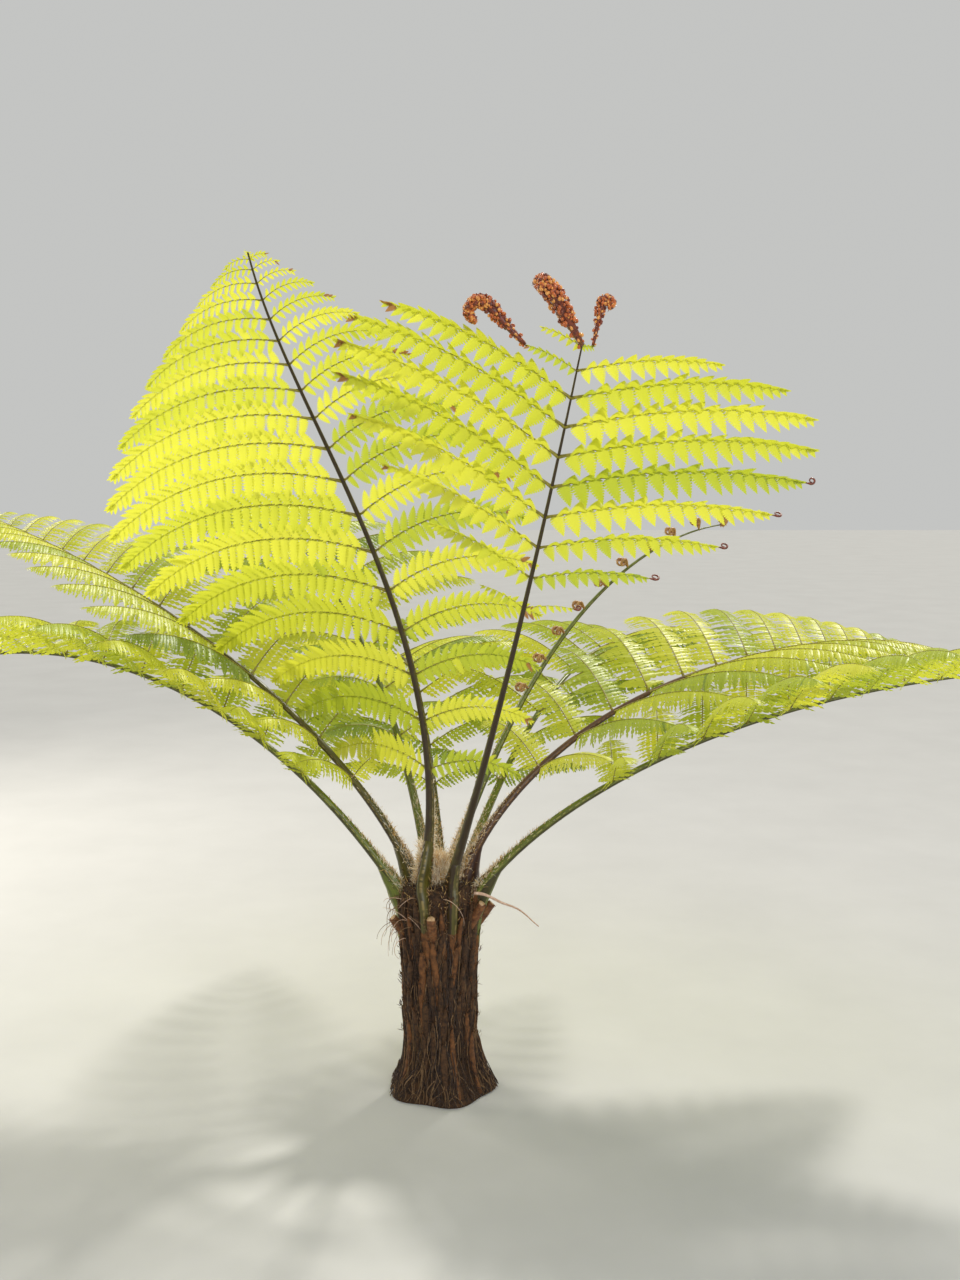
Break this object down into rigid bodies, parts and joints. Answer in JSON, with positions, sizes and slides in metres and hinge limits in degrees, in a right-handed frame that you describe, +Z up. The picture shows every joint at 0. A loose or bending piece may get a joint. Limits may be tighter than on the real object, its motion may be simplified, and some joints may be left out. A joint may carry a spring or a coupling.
{
  "type": "tree fern",
  "caption": "Young tree fern: short fibrous trunk, arching lacy fronds on long bare stalks, rust-brown rolled tips, a woolly bud and cut old stalks.",
  "frame": {"origin": "middle of the flat cut under the trunk, at ground level", "axes": "+Z up, -Y towards the picture's viewer, +X to the viewer's right"},
  "size_m": [3.2112, 2.1236, 1.924],
  "materials": {
    "bark": "rough fibrous bark with old stalk bases",
    "stalk": "satin, olive to dark brown, with pale scales at the foot",
    "young_stalk": "satin olive with small brown coils",
    "old_stalk": "dry and fibrous, pale where cut",
    "leaf": "thin leaf, semi-matt",
    "rust_scales": "dry overlapping scales, matt",
    "wool": "woolly hairs, matt"
  },
  "bodies": {
    "root": {"crown_bud": "wool", "crozier_front_right": "rust_scales", "crozier_left": "rust_scales", "crozier_right": "rust_scales", "crozier_young": "rust_scales", "frond_back_left_inner": "leaf", "frond_back_left_outer": "leaf", "frond_back_low_inner": "leaf", "frond_back_low_outer": "leaf", "frond_back_right_inner": "leaf", "frond_back_right_outer": "leaf", "frond_front_left_inner": "leaf", "frond_front_left_outer": "leaf", "frond_front_right_inner": "leaf", "frond_front_right_outer": "leaf", "frond_left_high_inner": "leaf", "frond_left_high_outer": "leaf", "frond_left_low_inner": "leaf", "frond_left_low_outer": "leaf", "frond_right_high_inner": "leaf", "frond_right_high_outer": "leaf", "frond_right_low_inner": "leaf", "frond_right_low_outer": "leaf", "frond_young": "young_stalk", "old_stalk_1": "old_stalk", "old_stalk_2": "old_stalk", "old_stalk_3": "old_stalk", "old_stalk_4": "old_stalk", "old_stalk_5": "old_stalk", "old_stalk_6": "old_stalk", "stalk_back_left": "stalk", "stalk_back_low": "stalk", "stalk_back_right": "stalk", "stalk_front_left": "stalk", "stalk_front_right": "stalk", "stalk_left_high": "stalk", "stalk_left_low": "stalk", "stalk_right_high": "stalk", "stalk_right_low": "stalk", "stalk_young": "stalk", "trunk": "bark"}
  },
  "joints": []
}
